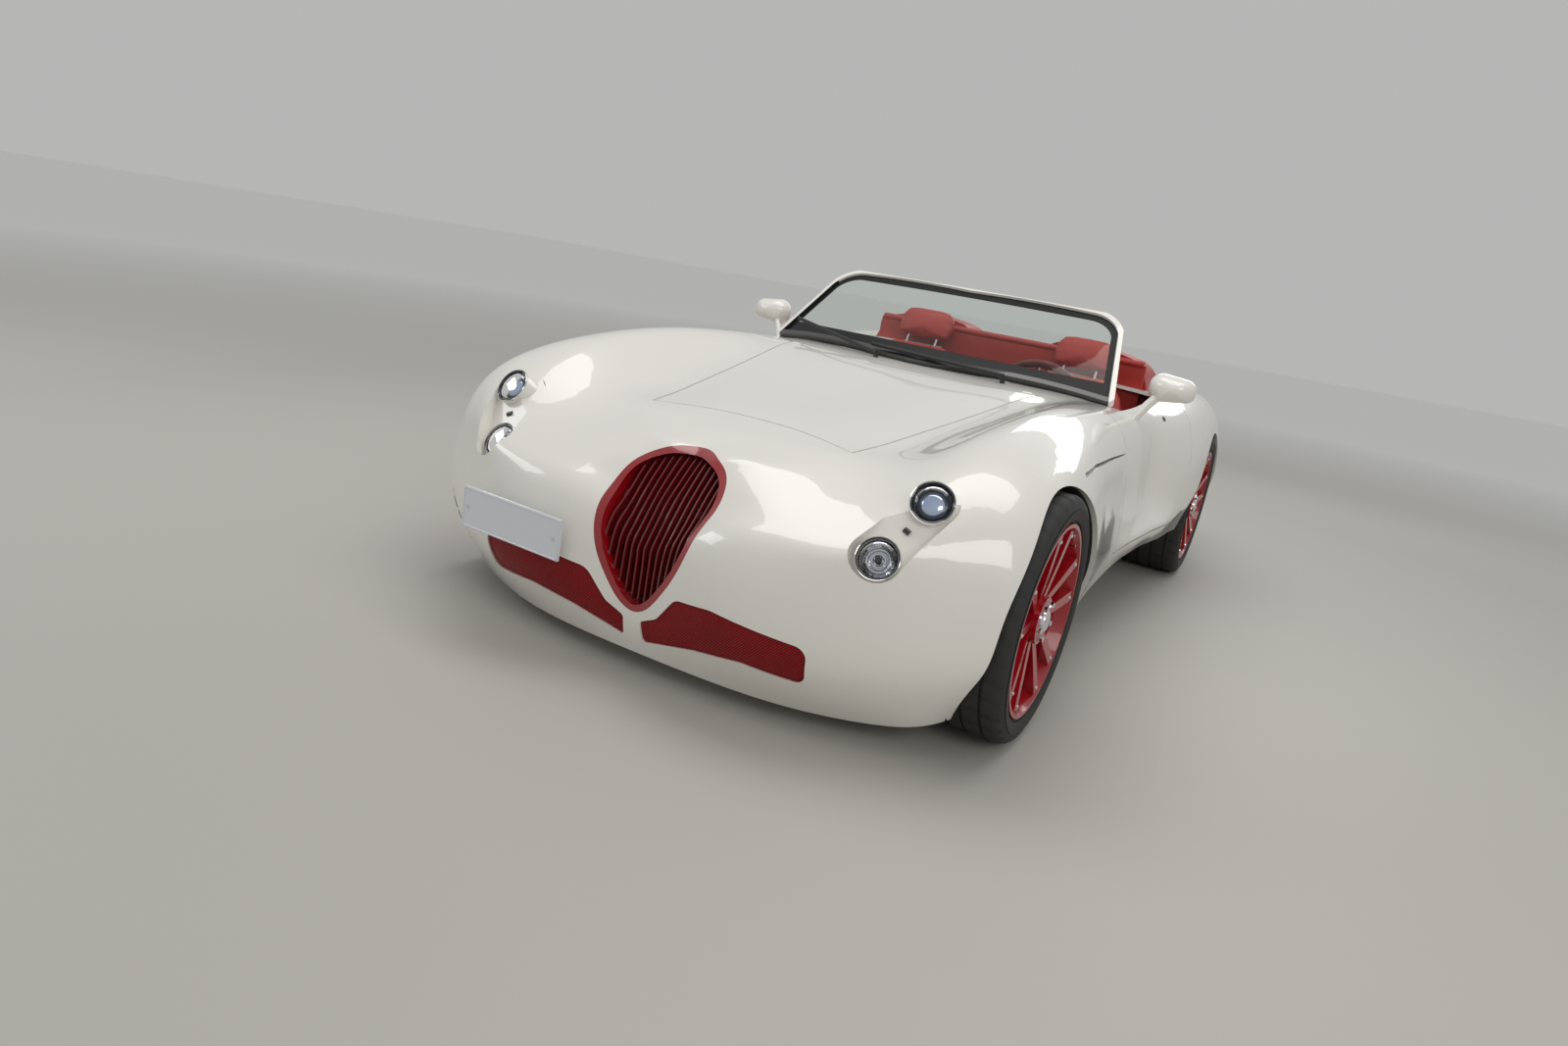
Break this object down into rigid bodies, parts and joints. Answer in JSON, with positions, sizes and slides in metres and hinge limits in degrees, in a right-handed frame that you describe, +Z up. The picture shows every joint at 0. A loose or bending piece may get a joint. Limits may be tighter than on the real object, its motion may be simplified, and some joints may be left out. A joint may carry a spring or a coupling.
{
  "type": "two-seat roadster",
  "caption": "Open two-seat sports car with an upright pear-shaped grille, round lamps in flowing wings, low windscreen, hinged doors and lids, steering and rolling wheels.",
  "frame": {"origin": "middle of the bounding box on the ground plane", "axes": "-Y towards the nose, +X towards the car's left side, +Z up"},
  "size_m": [1.868, 4.1978, 1.1128],
  "materials": {
    "white_paint": "gloss white body paint",
    "red_gloss": "bright red gloss",
    "dark_red": "dark red satin",
    "red_mesh": "red fine mesh",
    "red_wheel": "deep red gloss wheel",
    "tyre_rubber": "black",
    "red_leather": "red leather",
    "black_trim": "black satin",
    "lamp_glass": "clear",
    "screen_glass": "clear tint",
    "red_lens": "red lens",
    "chrome_parts": "polished",
    "steel": "satin",
    "alloy": "cast",
    "iron": "machined",
    "plate_white": "blank plate"
  },
  "bodies": {
    "body": {"front_body": "white_paint", "rear_body": "white_paint", "sills": "white_paint", "windscreen_frame": "white_paint", "cowl": "black_trim", "rear_valance": "black_trim", "tail_lamps": "red_lens", "grille_surround": "red_gloss", "grille_fins": "dark_red", "intake_meshes": "red_mesh", "lamp_housings": "white_paint", "lamp_lenses": "lamp_glass", "number_plate": "plate_white", "wipers": "black_trim", "hinges": "white_paint", "windscreen_glass": "screen_glass", "floor_tub": "black_trim", "luggage_tub": "black_trim", "engine": "alloy", "radiator": "alloy", "wheelhouse_liners": "black_trim", "exhaust": "chrome_parts", "front_suspension": "steel", "rear_suspension": "steel", "rear_hubs": "alloy", "final_drive": "alloy", "dashboard": "red_leather", "centre_console": "red_leather", "rear_deck": "red_leather", "steering_column": "black_trim", "seat_left": "red_leather", "seat_right": "red_leather"},
    "bonnet": {"bonnet": "white_paint"},
    "boot_lid": {"boot_lid": "white_paint"},
    "door_left": {"door_left": "white_paint", "mirror_left": "white_paint"},
    "door_right": {"door_right": "white_paint", "mirror_right": "white_paint"},
    "steering_wheel": {"steering_wheel": "red_leather"},
    "knuckle_left": {"knuckle_left": "alloy"},
    "knuckle_right": {"knuckle_right": "alloy"},
    "wheel_front_left": {"rim_front_left": "red_wheel", "tyre_front_left": "tyre_rubber"},
    "wheel_front_right": {"rim_front_right": "red_wheel", "tyre_front_right": "tyre_rubber"},
    "wheel_rear_left": {"rim_rear_left": "red_wheel", "tyre_rear_left": "tyre_rubber"},
    "wheel_rear_right": {"rim_rear_right": "red_wheel", "tyre_rear_right": "tyre_rubber"}
  },
  "joints": [
    {"name": "bonnet_hinge", "type": "hinge", "parent": "body", "child": "bonnet", "pos_m": [0, -0.5735, 0.799], "axis": [-1, 0, 0], "range_deg": [0, 55]},
    {"name": "boot_lid_hinge", "type": "hinge", "parent": "body", "child": "boot_lid", "pos_m": [0, 1.095, 0.8265], "axis": [1, 0, 0], "range_deg": [0, 65]},
    {"name": "door_left_hinge", "type": "hinge", "parent": "body", "child": "door_left", "pos_m": [0.868, -0.5545, 0.5], "axis": [0, 0, -1], "range_deg": [0, 62]},
    {"name": "door_right_hinge", "type": "hinge", "parent": "body", "child": "door_right", "pos_m": [-0.868, -0.5545, 0.5], "axis": [0, 0, 1], "range_deg": [0, 62]},
    {"name": "steering", "type": "hinge", "parent": "body", "child": "steering_wheel", "pos_m": [0.37, -0.075, 0.722], "axis": [0, -0.9135, -0.4067], "range_deg": [-420, 420]},
    {"name": "steer_left", "type": "hinge", "parent": "body", "child": "knuckle_left", "pos_m": [0.768, -1.49, 0.328], "axis": [0, 0, -1], "range_deg": [-30, 30]},
    {"name": "steer_right", "type": "hinge", "parent": "body", "child": "knuckle_right", "pos_m": [-0.768, -1.49, 0.328], "axis": [0, 0, -1], "range_deg": [-30, 30]},
    {"name": "roll_front_left", "type": "hinge", "parent": "knuckle_left", "child": "wheel_front_left", "pos_m": [0.768, -1.49, 0.328], "axis": [1, 0, 0], "continuous": true},
    {"name": "roll_rear_left", "type": "hinge", "parent": "body", "child": "wheel_rear_left", "pos_m": [0.773, 1.017, 0.33], "axis": [1, 0, 0], "continuous": true},
    {"name": "roll_front_right", "type": "hinge", "parent": "knuckle_right", "child": "wheel_front_right", "pos_m": [-0.768, -1.49, 0.328], "axis": [1, 0, 0], "continuous": true},
    {"name": "roll_rear_right", "type": "hinge", "parent": "body", "child": "wheel_rear_right", "pos_m": [-0.773, 1.017, 0.33], "axis": [1, 0, 0], "continuous": true}
  ],
  "couplings": [
    {"joint": "steer_left", "follows": "steering", "ratio": 0.071429},
    {"joint": "steer_right", "follows": "steering", "ratio": 0.071429}
  ]
}
